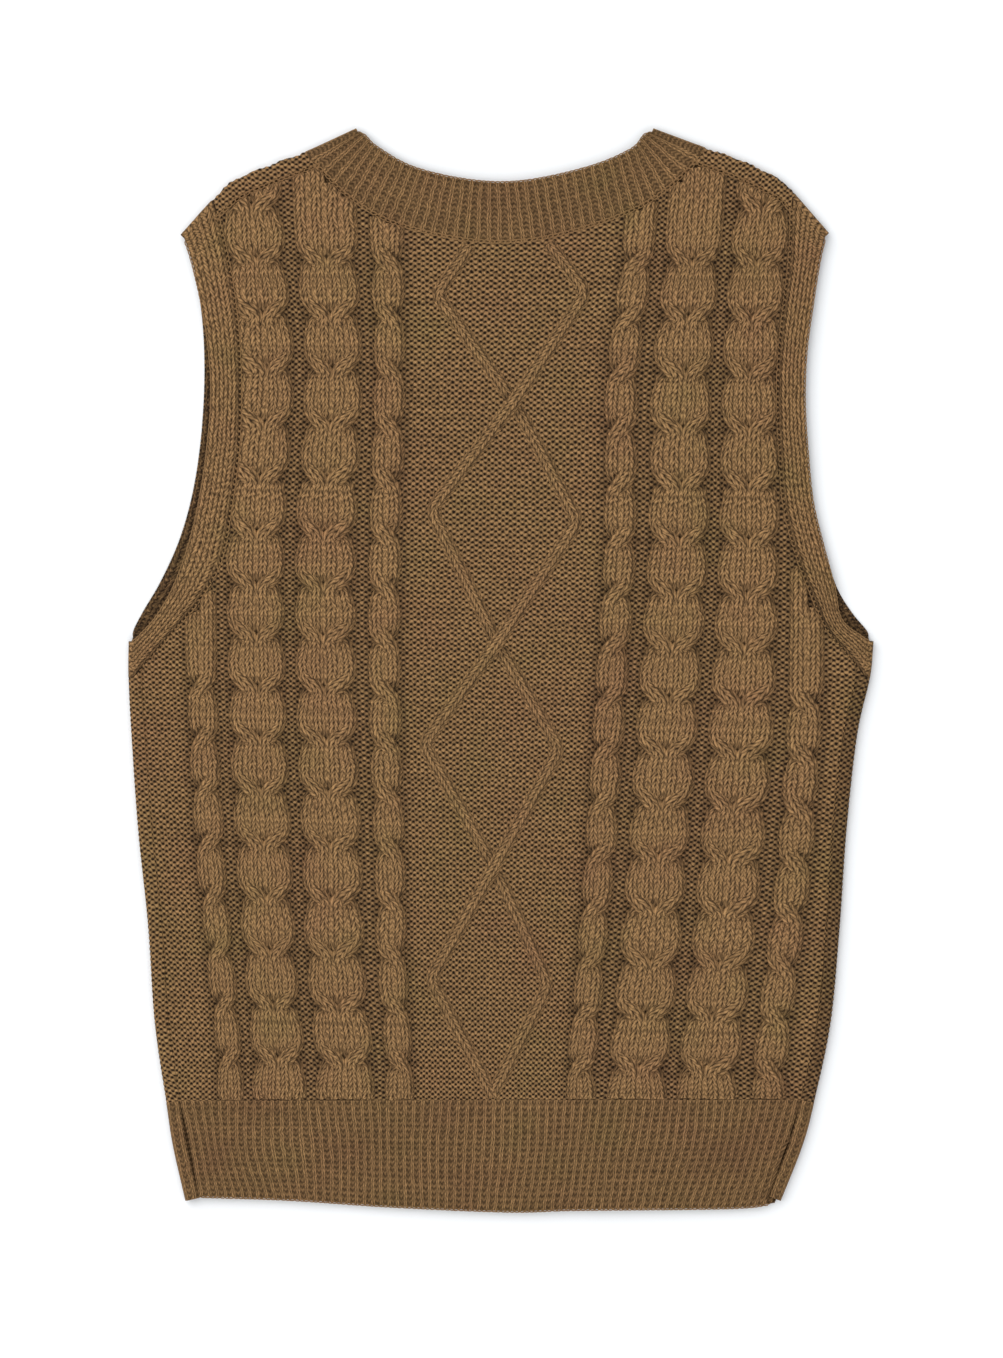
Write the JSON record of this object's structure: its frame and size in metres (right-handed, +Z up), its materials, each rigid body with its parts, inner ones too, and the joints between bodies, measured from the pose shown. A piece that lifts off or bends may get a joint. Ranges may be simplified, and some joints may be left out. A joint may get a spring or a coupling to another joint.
{
  "type": "knitted sweater vest",
  "caption": "Cable-knit V-neck sweater vest laid flat on its front, with its back up: ribbed hem, neckband and armbands round open neck and armholes.",
  "frame": {"origin": "middle of the laid vest's outline, on the surface that it rests on", "axes": "+X to the right seen from above, +Y from the hem to the neck, +Z up through the layers"},
  "size_m": [0.4472, 0.6498, 0.0064],
  "materials": {
    "cable_knit": "matt camel cable knit with a purl ground",
    "hem_rib": "matt camel single rib",
    "neck_rib": "matt camel single rib",
    "arm_rib": "matt camel rib that runs along the armhole"
  },
  "bodies": {
    "root": {"back_panel": "cable_knit", "front_panel": "cable_knit", "back_hem": "hem_rib", "front_hem": "hem_rib", "neckband": "neck_rib", "armband_left": "arm_rib", "armband_right": "arm_rib"}
  },
  "joints": []
}
